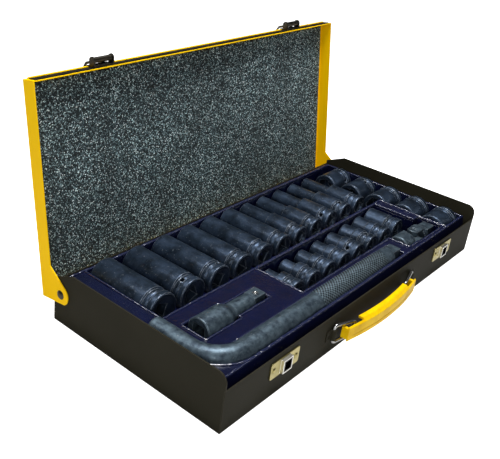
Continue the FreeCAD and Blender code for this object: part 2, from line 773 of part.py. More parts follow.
def make_extension():
    """An extension bar: a square socket on the left, a drive square on the right."""
    x0, head, shank = extension_left, extension_head_diameter / 2, extension_shank_diameter / 2
    x1 = x0 + extension_head_length
    x2 = x1 + extension_taper
    x3 = x0 + extension_length - tang_length
    c = socket_chamfer
    outline = [(x0, 0), (x0, head - c), (x0 + c, head), (x1, head), (x2, shank), (x3 - c, shank),
               (x3, shank - c), (x3, 0)]
    points = [Vector(x, 0, r) for x, r in outline]
    face = Part.Face(Part.makePolygon(points + points[:1]))
    bar = face.revolve(Vector(0, 0, 0), Vector(1, 0, 0), 360)
    bar.translate(Vector(0, extension_y, extension_z))
    bar = join([bar, make_tang(x3 - 1, extension_y, extension_z, tang_length + 1)])
    half = socket_square / 2
    bar = bar.cut(box(x0 - OVER, x0 + drive_depth, extension_y - half, extension_y + half,
                      extension_z - half, extension_z + half))
    bx, by, bz = ball_place()
    bore = ball_diameter / 2 + ball_gap
    return bar.cut(rod(bore, (bx, by, extension_z - drive_square / 4), (0, 0, 1), drive_square))


def make_ball():
    """The detent ball, resting on its spring."""
    return Part.makeSphere(ball_diameter / 2, Vector(*ball_place()))


def make_spring():
    """The detent spring, drawn as the sleeve that its turns fill when pressed down."""
    bx, by, bz = ball_place()
    low = extension_z - drive_square / 4
    outer = ball_diameter / 2 - spring_gap
    tube = rod(outer, (bx, by, low), (0, 0, 1), bz - ball_diameter / 2 - ball_travel - spring_gap - low)
    return tube.cut(rod(outer - 0.6, (bx, by, low - 1), (0, 0, 1), drive_square))


def bar_path():
    """The middle line of the bent bar: short leg, bend and long leg."""
    r = bar_bend_radius
    turn = r * (1 - math.sqrt(0.5))
    a = Vector(bar_leg_x, bar_leg_end, bar_z)
    b = Vector(bar_leg_x, bar_long_y + r, bar_z)
    c = Vector(bar_leg_x + r, bar_long_y, bar_z)
    d = Vector(bar_right, bar_long_y, bar_z)
    middle = Vector(bar_leg_x + turn, bar_long_y + turn, bar_z)
    return Part.Wire([Part.LineSegment(a, b).toShape(), Part.Arc(b, middle, c).toShape(),
                      Part.LineSegment(c, d).toShape()])


def make_bar():
    """The bent drive bar with a square on its long leg."""
    radius = bar_diameter / 2
    start = Vector(bar_leg_x, bar_leg_end, bar_z)
    ring = Part.Wire(Part.makeCircle(radius, start, Vector(0, 1, 0)))
    bar = bar_path().makePipeShell([ring], True, True)
    bar = bar if bar.Solids else Part.Solid(bar)
    ends = [e for e in bar.Edges if e.Curve.TypeId == "Part::GeomCircle"
            and abs(e.Length - 2 * math.pi * radius) < 0.1
            and (abs(e.CenterOfMass.y - bar_leg_end) < SMALL or abs(e.CenterOfMass.x - bar_right) < SMALL)]
    bar = bar.makeChamfer(bar_end_chamfer, ends)
    return join([bar, make_tang(bar_right - 1, bar_long_y, bar_z, tang_length + 1)])


def joint_centre():
    """Where the two axes of the universal joint cross."""
    return joint_left + joint_centre_reach, joint_y, joint_z


def joint_arms(x0, x1, tip_x, across_z):
    """Two fork arms with round tips, cut to the joint's outside diameter."""
    cx, cy, cz = joint_centre()
    half, inner, outer = joint_arm_half_width, joint_arm_inner, joint_diameter / 2
    arms = []
    for side in (-1, 1):
        lo, hi = sorted((side * inner, side * outer))
        if across_z:
            slab = box(x0, x1, cy - half, cy + half, cz + lo, cz + hi)
            tip = rod(half, (tip_x, cy, cz + lo), (0, 0, 1), hi - lo)
        else:
            slab = box(x0, x1, cy + lo, cy + hi, cz - half, cz + half)
            tip = rod(half, (tip_x, cy + lo, cz), (0, 1, 0), hi - lo)
        arms.append(join([slab, tip]))
    sleeve = rod(outer, (x0 - 3 * OVER, cy, cz), (1, 0, 0), x1 - x0 + 6 * OVER)
    return [arm.common(sleeve) for arm in arms]


def make_joint_socket():
    """The socket half of the universal joint with its fork at the front and back."""
    cx, cy, cz = joint_centre()
    end = joint_left + joint_hub_length
    hub = rod(joint_diameter / 2, (joint_left, cy, cz), (1, 0, 0), joint_hub_length)
    rim = [e for e in hub.Edges if e.Curve.TypeId == "Part::GeomCircle"
           and abs(e.CenterOfMass.x - joint_left) < SMALL]
    hub = hub.makeChamfer(socket_chamfer, rim)
    half = socket_square / 2
    hub = hub.cut(box(joint_left - OVER, joint_left + drive_depth, cy - half, cy + half,
                      cz - half, cz + half))
    yoke = join([hub] + joint_arms(end - 1, cx, cx, False))
    bore = joint_pin_diameter / 2 + joint_running_gap
    return yoke.cut(rod(bore, (cx, cy - joint_diameter, cz), (0, 1, 0), 2 * joint_diameter))


def make_joint_spider():
    """The cross in the middle of the universal joint."""
    cx, cy, cz = joint_centre()
    half, pin = joint_spider_size / 2, joint_pin_diameter / 2
    reach = joint_diameter / 2 - 0.8
    return join([
        box(cx - half, cx + half, cy - half, cy + half, cz - half, cz + half),
        rod(pin, (cx, cy, cz - reach), (0, 0, 1), 2 * reach),
        rod(pin, (cx, cy - reach, cz), (0, 1, 0), 2 * reach),
    ])


def make_joint_drive():
    """The driving half of the universal joint: fork, waist and square."""
    cx, cy, cz = joint_centre()
    x0 = cx + joint_drive_hub_reach
    x1 = x0 + joint_drive_hub_length
    waist = drive_square * 0.62
    outline = [(x0, 0), (x0, joint_drive_hub_diameter / 2), (x0 + 3, joint_drive_hub_diameter / 2),
               (x1, waist), (x1 + 1, waist), (x1 + 1, 0)]
    points = [Vector(x, 0, r) for x, r in outline]
    hub = Part.Face(Part.makePolygon(points + points[:1])).revolve(Vector(0, 0, 0), Vector(1, 0, 0), 360)
    hub.translate(Vector(0, cy, cz))
    yoke = join([hub, make_tang(x1, cy, cz, tang_length)] + joint_arms(cx, x0 + 1, cx, True))
    bore = joint_pin_diameter / 2 + joint_running_gap
    return yoke.cut(rod(bore, (cx, cy, cz - joint_diameter), (0, 0, 1), 2 * joint_diameter))


def trench(x0, x1, y, z, radius, top):
    """A round-bottomed pocket along X, open upwards."""
    return join([rod(radius, (x0, y, z), (1, 0, 0), x1 - x0), box(x0, x1, y - radius, y + radius, z, top)])


def bar_trench(grow, top):
    """The bent bar's pocket, open upwards."""
    radius, r = bar_diameter / 2 + tool_gap + grow, bar_bend_radius
    end_gap = pocket_end_gap + grow
    ring = Part.Wire(Part.makeCircle(radius, Vector(bar_leg_x, bar_leg_end, bar_z), Vector(0, 1, 0)))
    tube = bar_path().makePipeShell([ring], True, True)
    tube = tube if tube.Solids else Part.Solid(tube)
    bend_x, bend_y = bar_leg_x + r, bar_long_y + r
    turn = Part.makeCylinder(r + radius, top - bar_z, Vector(bend_x, bend_y, bar_z), Vector(0, 0, 1), 90)
    turn = turn.cut(rod(r - radius, (bend_x, bend_y, bar_z), (0, 0, 1), top - bar_z))
    turn.rotate(Vector(bend_x, bend_y, bar_z), Vector(0, 0, 1), 180)
    tang_end = bar_right + tang_length + end_gap
    return join([
        tube, turn,
        box(bar_leg_x - radius, bar_leg_x + radius, bend_y, bar_leg_end, bar_z, top),
        trench(bar_right, tang_end, bar_long_y, bar_z, radius, top),
        box(bend_x, bar_right, bar_long_y - radius, bar_long_y + radius, bar_z, top),
        rod(radius, (bar_leg_x, bar_leg_end, bar_z), (0, 1, 0), end_gap),
        box(bar_leg_x - radius, bar_leg_x + radius, bar_leg_end, bar_leg_end + end_gap, bar_z, top),
    ])


def socket_cradles(places, front, length, axis, grow):
    """Round hollows for sockets that point back, up to the height of the cradles."""
    cradles = []
    for name, x, flats, collar, nose in places:
        r = collar / 2 + tool_gap + grow
        cradle = rod(r, (x, front, axis), (0, 1, 0), length)
        cradles.append(cradle.common(box(x - r, x + r, -half_depth, half_depth, 0, cradle_height)))
    return cradles


def tool_hollows(grow, top):
    """Every recess of the tray by name, grown by a wall thickness for its outside."""
    end = pocket_end_gap + grow
    low = cradle_height - grow
    deep, short, large = deep_sockets(), short_sockets(), large_sockets()
    deep_x0 = deep[0][1] - deep[0][3] / 2 - end
    large_x1 = large_left + large_length + end - 0.8
    deep_back = deep_front + deep_length + end
    ridge_back, ridge_front = ridge_middle + ridge_width / 2, ridge_middle - ridge_width / 2
    large_low = large[-1][1] - large[-1][3] / 2 - tool_gap - grow
    socket_well = [
        box(deep_x0, large_left, ridge_back - grow, deep_back, low, top),
        box(large_left - 1 - grow, large_x1, large_low, deep_back, low, top),
    ]
    socket_well += socket_cradles(deep, deep_front - end, deep_length + 2 * end, deep_axis, grow)
    for name, y, flats, collar in large:
        r = collar / 2 + tool_gap + grow
        cradle = rod(r, (large_left - 1 - grow, y, large_axis), (1, 0, 0), large_x1 - large_left + 1 + grow)
        socket_well.append(cradle.common(box(0, half_width, y - r, y + r, 0, cradle_height)))
    short_well = [
        box(short[0][1] - short[0][3] / 2 - end, short[-1][1] + short[-1][3] / 2 + end,
            short_front - short_mouth_gap - grow, ridge_front + grow, low, top),
    ]
    short_well += socket_cradles(short, short_front - end, short_length + end, short_axis, grow)
    head_end = extension_left + extension_head_length + extension_taper
    shank_room = max(extension_shank_diameter, drive_square * math.sqrt(2)) / 2 + tool_gap + grow
    extension_pocket = [
        trench(extension_left - extension_mouth_gap - grow, head_end + grow, extension_y, extension_z,
               extension_head_diameter / 2 + tool_gap + grow, top),
        trench(head_end, extension_left + extension_length + end, extension_y, extension_z, shank_room, top),
    ]
    hub_end = joint_left + joint_hub_length
    joint_pocket = [
        trench(joint_left - end, hub_end, joint_y, joint_z, joint_diameter / 2 + tool_gap + grow, top),
        trench(hub_end - grow, joint_left + joint_length + end, joint_y, joint_z,
               joint_diameter / 2 + joint_pocket_gap + grow, top),
    ]
    return {
        "tray_socket_well": socket_well, "tray_short_well": short_well,
        "tray_extension_pocket": extension_pocket, "tray_joint_pocket": joint_pocket,
        "tray_bar_groove": [bar_trench(grow, top)],
    }


def frustum(inset, low, high):
    """The tray's outside, wider at its foot, drawn in by a wall thickness."""
    foot = half_width - tray_foot - inset
    levels = [
        (low, -foot, foot, -half_depth + tray_foot_front + inset, half_depth - tray_foot_back - inset),
        (high, -half_width + tray_deck_left + inset, half_width - tray_deck_right - inset,
         -half_depth + tray_deck_front + inset, half_depth - tray_deck_back - inset),
    ]
    wires = []
    for z, x0, x1, y0, y1 in levels:
        corners = [Vector(x0, y0, z), Vector(x1, y0, z), Vector(x1, y1, z), Vector(x0, y1, z)]
        wires.append(Part.makePolygon(corners + corners[:1]))
    return Part.makeLoft(wires, True, True)


def wall_plates(well, rooms):
    """The straight walls of a well above its cradles, one plate for each side of its rooms."""
    plates = []
    g = pocket_gauge
    for room in rooms:
        x0, x1, y0, y1 = room.XMin, room.XMax, room.YMin, room.YMax
        sides = [(x0 - g, x1 + g, y1, y1 + g), (x0 - g, x1 + g, y0 - g, y0), (x0 - g, x0, y0, y1),
                 (x1, x1 + g, y0, y1)]
        for side in sides:
            slab = box(*side, cradle_height, deck_height)
            plates += well.common(slab).Solids
            well = well.cut(slab)
    return plates


def tray_pieces():
    """The moulded tray: a deck with a sloping skirt, and under it a well for each group of tools."""
    under = deck_height - tray_gauge
    inside = frustum(tray_gauge, tray_low, under)
    shell = frustum(0, tray_low, deck_height).cut(inside)
    top = deck_height + OVER
    hollows = [one for group in tool_hollows(0, top).values() for one in group]
    pieces = {"tool_tray": shell.cut(hollows).removeSplitter()}
    for name, group in tool_hollows(pocket_gauge, top).items():
        well = join(group).common(inside).cut(hollows)
        made = [piece for other, piece in pieces.items() if other != "tool_tray"]
        pieces[name] = (well.cut(made) if made else well).removeSplitter()
    walls = []
    above = box(-half_width, half_width, -half_depth, half_depth, cradle_height, deck_height)
    for name, room_count in (("tray_socket_well", 2), ("tray_short_well", 1)):
        rooms = [room.BoundBox for room in tool_hollows(0, deck_height)[name][:room_count]]
        walls += wall_plates(pieces[name], rooms)
        pieces[name] = pieces[name].cut(above)
    pieces["tray_walls"] = Part.makeCompound(walls)
    return pieces


def save_sockets():
    """Write every socket, each turned so that the pin holes don't line up."""
    for i, (name, x, flats, collar, nose) in enumerate(deep_sockets()):
        socket = make_socket(deep_length, flats, collar, nose, deep_step_share,
                             pin_hole_angle + pin_hole_step_angle * i)
        save(name, lay_along_y(socket, x, deep_front, deep_axis))
    for i, (name, x, flats, collar, nose) in enumerate(short_sockets()):
        socket = make_socket(short_length, flats, collar, nose, short_step_share,
                             pin_hole_angle + pin_hole_step_angle * (i + 4))
        save(name, lay_along_y(socket, x, short_front, short_axis))
    for i, (name, y, flats, collar) in enumerate(large_sockets()):
        socket = make_socket(large_length, flats, collar, collar, 1,
                             pin_hole_angle + pin_hole_step_angle * (i + 2))
        save(name, lay_along_x(socket, large_left + large_length, y, large_axis, True))


os.makedirs("parts", exist_ok=True)
save("base_pan", make_pan())
save("left_end_plate", make_end_plate(-1))
save("right_end_plate", make_end_plate(1))
save("hinge_rivets", make_hinge_rivets())
for tray_name, tray_piece in tray_pieces().items():
    save(tray_name, tray_piece)
save("left_latch_keeper", make_latch_plate(-1))
save("right_latch_keeper", make_latch_plate(1))
save("latch_keeper_rivets", wall_rivets(latch_rivet_places(), latch_rivet_diameter, plate_front,
                                        rivet_head_diameter, rivet_head_height))
save("left_handle_clip", make_clip(-1))
save("right_handle_clip", make_clip(1))
save("handle_clip_rivets", wall_rivets(clip_rivet_places(), clip_rivet_diameter, -half_depth - clip_gauge,
                                       clip_rivet_head, clip_rivet_rise))
save("lid_shell", drill_lid_front(make_lid()))
save("lid_foam", make_foam())
save("lid_front_strip", drill_lid_front(make_strip()))
save("left_hasp_bracket", make_bracket(-1))
save("right_hasp_bracket", make_bracket(1))
save("hasp_bracket_rivets", make_bracket_rivets())
save("hasp_pins", make_hasp_pins())
save("left_hasp", make_hasp(-1))
save("right_hasp", make_hasp(1))
save("left_handle_loop", make_loop(-1))
save("right_handle_loop", make_loop(1))
save("handle_grip", make_grip())
save_sockets()
save("extension_bar", make_extension())
save("extension_ball", make_ball())
save("extension_ball_spring", make_spring())
save("bent_drive_bar", make_bar())
save("joint_socket_yoke", make_joint_socket())
save("joint_cross", make_joint_spider())
save("joint_drive_yoke", make_joint_drive())
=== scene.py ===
# %% [markdown]
# A socket set in an open steel case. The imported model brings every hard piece: pan, end plates, lid,
# latches, handle, tray and tools. This lesson gives each piece its finish, and makes by hand what the
# solids leave out: the rolled lips of the tray, the edges of the lid's dark strip, the crumbly foam pad
# and the knurl on the bent bar. The light and the white studio come with it.

import json
import math

import bmesh
import bpy
from mathutils import Matrix, Vector, noise


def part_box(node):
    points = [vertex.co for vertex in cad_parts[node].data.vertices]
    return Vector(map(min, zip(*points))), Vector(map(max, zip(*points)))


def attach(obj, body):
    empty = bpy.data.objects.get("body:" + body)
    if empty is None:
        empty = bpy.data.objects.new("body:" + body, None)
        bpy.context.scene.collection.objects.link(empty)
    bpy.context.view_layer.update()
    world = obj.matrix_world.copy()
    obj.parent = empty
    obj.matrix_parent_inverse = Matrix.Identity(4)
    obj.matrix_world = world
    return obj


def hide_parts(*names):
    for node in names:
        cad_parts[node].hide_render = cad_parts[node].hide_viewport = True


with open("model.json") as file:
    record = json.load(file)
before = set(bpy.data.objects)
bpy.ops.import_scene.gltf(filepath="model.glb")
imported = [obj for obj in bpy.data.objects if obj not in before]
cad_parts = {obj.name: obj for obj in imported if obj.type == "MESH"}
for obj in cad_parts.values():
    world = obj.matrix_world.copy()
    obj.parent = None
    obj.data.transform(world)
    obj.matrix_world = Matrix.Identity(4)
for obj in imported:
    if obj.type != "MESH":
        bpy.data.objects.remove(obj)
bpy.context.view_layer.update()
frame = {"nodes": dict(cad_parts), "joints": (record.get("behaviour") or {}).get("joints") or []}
nodes = frame["nodes"]
scene = bpy.context.scene
scene.view_settings.view_transform = "Standard"
print(len(nodes), "solid pieces loaded")


# %% [markdown]
# The camera comes first, because every later choice is judged through it. Its place, turn and lens were
# worked out from where the case's corners lie in the picture. The point that the lens looks at came out
# left of the picture's middle and above it, as in a cropped picture, so the camera is shifted to match.

# %% Camera
PICTURE_PX = (500, 459)
LENS_MIDDLE_PX = (184.44, 191.62)
LENS_PX = 747.46


def aim_camera(place, turn, rise, roll):
    """A camera from its place in metres and its angles in degrees."""
    turn, rise, roll = (math.radians(a) for a in (turn, rise, roll))
    back = Vector((math.sin(turn) * math.cos(rise), -math.cos(turn) * math.cos(rise), math.sin(rise)))
    right = (-back).cross(Vector((0, 0, 1))).normalized()
    up = right.cross(-back)
    side = right * math.cos(roll) + up * math.sin(roll)
    top = up * math.cos(roll) - right * math.sin(roll)
    data = bpy.data.cameras.new("camera")
    data.sensor_width = 36
    data.lens = LENS_PX / PICTURE_PX[0] * data.sensor_width
    data.shift_x = (PICTURE_PX[0] / 2 - LENS_MIDDLE_PX[0]) / PICTURE_PX[0]
    data.shift_y = (LENS_MIDDLE_PX[1] - PICTURE_PX[1] / 2) / PICTURE_PX[0]
    data.clip_start, data.clip_end = 0.01, 20
    camera = bpy.data.objects.new("camera", data)
    camera.matrix_world = Matrix((
        (side.x, top.x, back.x, place[0]), (side.y, top.y, back.y, place[1]),
        (side.z, top.z, back.z, place[2]), (0, 0, 0, 1),
    ))
    scene.collection.objects.link(camera)
    scene.camera = camera
    return camera


camera = aim_camera((-0.58913, -0.35004, 0.40765), turn=-49.75, rise=25.14, roll=5.48)
print("camera lens", round(camera.data.lens, 1), "mm")


# %% [markdown]
# A few small helpers serve every finish and every piece made here. One turns a hex colour into the
# linear numbers that shaders use, one adds a node, fills its sockets and links what it is given, and one
# puts a finished mesh into the scene.

# %% Helpers
def colour(code):
    """An sRGB hex colour as linear red, green, blue and alpha."""
    parts = [int(code[i:i + 2], 16) / 255 for i in (1, 3, 5)]
    return tuple(c / 12.92 if c <= 0.04045 else ((c + 0.055) / 1.055) ** 2.4 for c in parts) + (1.0,)


def add(tree, kind, inputs=None, **settings):
    """A node with its settings, its socket values, and links from other nodes' sockets."""
    node = tree.nodes.new(kind)
    for name, value in settings.items():
        setattr(node, name, value)
    for name, value in (inputs or {}).items():
        if isinstance(value, bpy.types.NodeSocket):
            tree.links.new(value, node.inputs[name])
        else:
            node.inputs[name].default_value = value
    return node


def new_material(name):
    """An empty node material and its output."""
    material = bpy.data.materials.new(name)
    material.use_nodes = True
    tree = material.node_tree
    tree.nodes.clear()
    return material, tree, tree.nodes.new("ShaderNodeOutputMaterial")


def per_metre(size_mm):
    """The texture scale that gives a pattern of this size."""
    return 1000.0 / size_mm


def new_piece(name, form, smooth=False):
    """An object in the scene from a finished form, which is used up."""
    mesh = bpy.data.meshes.new(name)
    form.to_mesh(mesh)
    form.free()
    for face in mesh.polygons:
        face.use_smooth = smooth
    piece = bpy.data.objects.new(name, mesh)
    scene.collection.objects.link(piece)
    return piece


print("middle grey is", round(colour("#808080")[0], 3), "in linear light")


# %% [markdown]
# The picture has a white ground. The light is a soft one from above, with weaker ones from the left
# front, the back and the right. The floor is plain white to the camera and pale grey to the lamps.

# %% Stage and light
def soft_light(name, place, target, size, watts):
    """A square lamp that looks at a point."""
    data = bpy.data.lights.new(name, "AREA")
    data.shape, data.size, data.energy = "SQUARE", size, watts
    lamp = bpy.data.objects.new(name, data)
    lamp.location = place
    lamp.rotation_euler = (Vector(target) - Vector(place)).to_track_quat("-Z", "Y").to_euler()
    scene.collection.objects.link(lamp)


soft_light("overhead_softbox", (0.05, 0.0, 1.2), (0, 0, 0.03), 0.35, 17.0)
soft_light("front_softbox", (-1.0, -0.7, 0.6), (-0.1, 0, 0.08), 0.6, 6.0)
soft_light("right_softbox", (1.2, -0.8, 0.7), (0, 0, 0.05), 0.22, 0.7)
soft_light("back_softbox", (-0.45, 0.62, 1.1), (0, 0, 0.04), 0.3, 4.0)

world = bpy.data.worlds.new("white_studio")
scene.world = world
world.use_nodes = True
world.node_tree.nodes.clear()
rays = add(world.node_tree, "ShaderNodeLightPath")
shown = add(world.node_tree, "ShaderNodeBackground", {"Color": (1, 1, 1, 1), "Strength": 1.0})
lit = add(world.node_tree, "ShaderNodeBackground", {"Color": (1, 1, 1, 1), "Strength": 0.07})
mixed = add(world.node_tree, "ShaderNodeMixShader",
            {0: rays.outputs["Is Camera Ray"], 1: lit.outputs[0], 2: shown.outputs[0]})
add(world.node_tree, "ShaderNodeOutputWorld", {"Surface": mixed.outputs[0]})

FLOOR_GAP = 0.0004
floor_form = bmesh.new()
bmesh.ops.create_grid(floor_form, x_segments=1, y_segments=1, size=4.0)
floor = new_piece("studio_floor", floor_form)
floor.location.z = -FLOOR_GAP
paper, tree, out = new_material("white_paper_floor")
rays = add(tree, "ShaderNodeLightPath")
matt = add(tree, "ShaderNodeBsdfDiffuse", {"Color": colour("#E8E8E8")})
glow = add(tree, "ShaderNodeEmission", {"Color": (1, 1, 1, 1), "Strength": 1.1})
bright = add(tree, "ShaderNodeAddShader", {0: matt.outputs[0], 1: glow.outputs[0]})
sheet = add(tree, "ShaderNodeMixShader",
            {0: rays.outputs["Is Camera Ray"], 1: matt.outputs[0], 2: bright.outputs[0]})
tree.links.new(sheet.outputs[0], out.inputs["Surface"])
floor.data.materials.append(paper)
print("stage ready")


# %% [markdown]
# Painted sheet steel: the lid is sprayed a warm yellow, the pan and end plates a near-black with a brown
# cast. Sprayed paint has a faint orange-peel ripple about 2 mm across, and it rubs thin and pale on
# folded edges. The ripple is drawn a little coarser than life so that it shows. Hardly anything mirrors
# in this paint, so its shine is far below that of fresh enamel.

# %% Painted steel
def sprayed_paint(name, base, shade, bare, gloss, shine, peel_mm, rub):
    """Sprayed paint with clouding, an orange-peel ripple and rubbed edges."""
    material, tree, out = new_material(name)
    place = add(tree, "ShaderNodeTexCoord").outputs["Object"]
    cloud = add(tree, "ShaderNodeTexNoise", {"Vector": place, "Scale": per_metre(60), "Detail": 4.0})
    clouded = add(tree, "ShaderNodeMix", {"Factor": cloud.outputs["Fac"], "A": colour(base),
                                          "B": colour(shade)}, data_type="RGBA")
    tint = clouded.outputs["Result"]
    round_edge = add(tree, "ShaderNodeBevel", {"Radius": 0.0006}, samples=4)
    flat = add(tree, "ShaderNodeNewGeometry")
    bend = add(tree, "ShaderNodeVectorMath", {0: round_edge.outputs[0], 1: flat.outputs["Normal"]},
               operation="DOT_PRODUCT")
    grit = add(tree, "ShaderNodeTexNoise", {"Vector": place, "Scale": per_metre(4), "Detail": 3.0})
    worn = add(tree, "ShaderNodeMath", {0: grit.outputs["Fac"], 1: 0.2, 2: bend.outputs["Value"]},
               operation="MULTIPLY_ADD")
    edge = add(tree, "ShaderNodeMapRange", {"Value": worn.outputs[0], "From Min": 1.05, "From Max": 0.9,
                                            "To Min": 0.0, "To Max": rub})
    rubbed = add(tree, "ShaderNodeMix", {"Factor": edge.outputs[0], "A": tint, "B": colour(bare)},
                 data_type="RGBA")
    peel = add(tree, "ShaderNodeTexNoise", {"Vector": place, "Scale": per_metre(peel_mm), "Detail": 1.0})
    rough = add(tree, "ShaderNodeMapRange", {"Value": cloud.outputs["Fac"], "To Min": gloss - 0.06,
                                             "To Max": gloss + 0.06})
    bump = add(tree, "ShaderNodeBump", {"Height": peel.outputs["Fac"], "Strength": 0.06,
                                        "Distance": 0.0004, "Normal": round_edge.outputs[0]})
    paint = add(tree, "ShaderNodeBsdfPrincipled", {
        "Base Color": rubbed.outputs["Result"], "Roughness": rough.outputs[0],
        "Normal": bump.outputs[0], "Specular IOR Level": shine})
    tree.links.new(paint.outputs[0], out.inputs["Surface"])
    return material


yellow_paint = sprayed_paint("yellow_gloss_paint", "#FFCF00", "#F8C200", "#FFDC30", 0.45, 0.05, 2.5, 0.3)
dark_paint = sprayed_paint("brown_black_paint", "#2C2A20", "#232118", "#5A564C", 0.55, 0.05, 2.5, 0.5)
print("painted steel ready")


# %% [markdown]
# The tray is a thin navy plastic sheet, drawn by vacuum over a mould. Such sheet keeps a silky gloss,
# waves slightly where it was stretched, and every corner is round, so bright lines run along its rims.
# Those rims are thin, so their own sheet mirrors more than plastic does, to show as lines.

# %% Vacuum-formed plastic
def formed_plastic(name, deep, pale, dull, wave_mm, rim, gloss):
    """Vacuum-formed sheet with stretch waves, a fine grain and rounded rims."""
    material, tree, out = new_material(name)
    place = add(tree, "ShaderNodeTexCoord").outputs["Object"]
    stretch = add(tree, "ShaderNodeTexNoise", {"Vector": place, "Scale": per_metre(wave_mm), "Detail": 3.0})
    tone = add(tree, "ShaderNodeMix", {"Factor": stretch.outputs["Fac"], "A": colour(deep),
                                       "B": colour(pale)}, data_type="RGBA")
    grain = add(tree, "ShaderNodeTexNoise", {"Vector": place, "Scale": per_metre(1.2), "Detail": 2.0})
    round_rim = add(tree, "ShaderNodeBevel", {"Radius": rim}, samples=6)
    wave = add(tree, "ShaderNodeBump", {"Height": stretch.outputs["Fac"], "Strength": 0.4,
                                        "Distance": 0.0012, "Normal": round_rim.outputs[0]})
    fine = add(tree, "ShaderNodeBump", {"Height": grain.outputs["Fac"], "Strength": 0.15,
                                        "Distance": 0.0002, "Normal": wave.outputs[0]})
    sheet = add(tree, "ShaderNodeBsdfPrincipled", {
        "Base Color": tone.outputs["Result"], "Roughness": dull, "Normal": fine.outputs[0], "IOR": gloss})
    tree.links.new(sheet.outputs[0], out.inputs["Surface"])
    return material


navy_plastic = formed_plastic("navy_vacuum_formed_plastic", "#05081A", "#0B1136", 0.2, 14, 0.0018, 1.53)
navy_lip = formed_plastic("navy_rolled_lip", "#0C1230", "#1A2246", 0.2, 3, 0.0002, 2.1)
print("tray plastic ready")


# %% [markdown]
# Impact sockets are forged from alloy steel and blackened in a phosphate bath, then oiled. That gives
# a blue-grey satin skin, a little patchy, that wears to lighter steel on the rims that meet a drive.
# Those rims, and every edge of this steel, are also painted paler as a highlight, with less metal so they
# stay bright.
# The bent bar, the extension and the universal joint are the same steel with a greyer, drier skin. The
# bar's knurl has its diamonds painted paler, as lit tops, and its grooves painted nearly black, as shade.

# %% Blackened steel
def blackened_steel(name, base, patch, bare, dull, patch_mm, rub):
    """Phosphated forged steel with patches, a fine forged grain and rubbed rims, painted pale also as a
    highlight.
    """
    material, tree, out = new_material(name)
    place = add(tree, "ShaderNodeTexCoord").outputs["Object"]
    patches = add(tree, "ShaderNodeTexNoise", {"Vector": place, "Scale": per_metre(patch_mm), "Detail": 5.0,
                                               "Roughness": 0.62})
    split = add(tree, "ShaderNodeMapRange", {"Value": patches.outputs["Fac"], "From Min": 0.35,
                                             "From Max": 0.68})
    skin = add(tree, "ShaderNodeMix", {"Factor": split.outputs[0], "A": colour(base), "B": colour(patch)},
               data_type="RGBA")
    soft_edge = add(tree, "ShaderNodeBevel", {"Radius": 0.0022}, samples=6)
    rim = add(tree, "ShaderNodeBevel", {"Radius": 0.0007}, samples=6)
    flat = add(tree, "ShaderNodeNewGeometry")
    bend = add(tree, "ShaderNodeVectorMath", {0: rim.outputs[0], 1: flat.outputs["Normal"]},
               operation="DOT_PRODUCT")
    grain = add(tree, "ShaderNodeTexNoise", {"Vector": place, "Scale": per_metre(0.9), "Detail": 3.0})
    worn = add(tree, "ShaderNodeMath", {0: patches.outputs["Fac"], 1: 0.08, 2: bend.outputs["Value"]},
               operation="MULTIPLY_ADD")
    edge = add(tree, "ShaderNodeMapRange", {"Value": worn.outputs[0], "From Min": 1.02, "From Max": 0.92,
                                            "To Min": 0.0, "To Max": rub})
    flecks = add(tree, "ShaderNodeTexNoise", {"Vector": place, "Scale": per_metre(2.2), "Detail": 4.0,
                                              "Roughness": 0.7})
    fleck = add(tree, "ShaderNodeMapRange", {"Value": flecks.outputs["Fac"], "From Min": 0.6,
                                             "From Max": 0.72, "To Max": 0.4})
    # Rubbed rims and flecks: wear, and on the rims also a painted highlight, kept bright by less metal.
    bared_and_highlit = add(tree, "ShaderNodeMath", {0: edge.outputs[0], 1: fleck.outputs[0]}, operation="MAXIMUM")
    rubbed = add(tree, "ShaderNodeMix", {"Factor": bared_and_highlit.outputs[0], "A": skin.outputs["Result"],
                                         "B": colour(bare)}, data_type="RGBA")
    metal = add(tree, "ShaderNodeMapRange", {"Value": bared_and_highlit.outputs[0], "To Min": 0.7, "To Max": 0.15})
    rough = add(tree, "ShaderNodeMapRange", {"Value": patches.outputs["Fac"], "To Min": dull - 0.08,
                                             "To Max": dull + 0.1})
    bump = add(tree, "ShaderNodeBump", {"Height": grain.outputs["Fac"], "Strength": 0.18,
                                        "Distance": 0.00025, "Normal": soft_edge.outputs[0]})
    steel = add(tree, "ShaderNodeBsdfPrincipled", {
        "Base Color": rubbed.outputs["Result"], "Metallic": metal.outputs[0], "Roughness": rough.outputs[0],
        "Normal": bump.outputs[0]})
    tree.links.new(steel.outputs[0], out.inputs["Surface"])
    return material


socket_steel = blackened_steel("oiled_phosphate_steel", "#1C2734", "#3C4C62", "#A8B2BE", 0.34, 14, 0.8)
# Knurl tops painted pale as lit tops, knurl grooves painted near black as shade.
knurl_lit_tops_steel = blackened_steel("knurl_tops_painted_light", "#56666F", "#7C909A", "#9AA6B0", 0.42, 6, 0.5)
knurl_groove_shade_steel = blackened_steel("knurl_grooves_painted_shade", "#0A0E14", "#121822", "#2A3440", 0.5, 12, 0.2)
bar_steel = blackened_steel("dry_phosphate_steel", "#2A3642", "#5A6B76", "#A2ACB2", 0.44, 6, 0.6)
print("blackened steel ready")


# %% [markdown]
# The small fittings are plated steel: bright zinc on the wire loops and a yellow passivated zinc on the
# latch plates. The hasps and the hinge rivets wear the same zinc painted dark, as shade. Plating is smooth,
# clouded by handling, with fine scratches from rolling. The frame on a latch plate is painted near-white as
# a highlight, round a window painted dark as shade. The detent ball of the extension is bare steel, but just
# as bright, so it wears the bright zinc too.

# %% Plated steel
WINDOW_REACH = 0.0055
FRAME_REACH = 0.0068


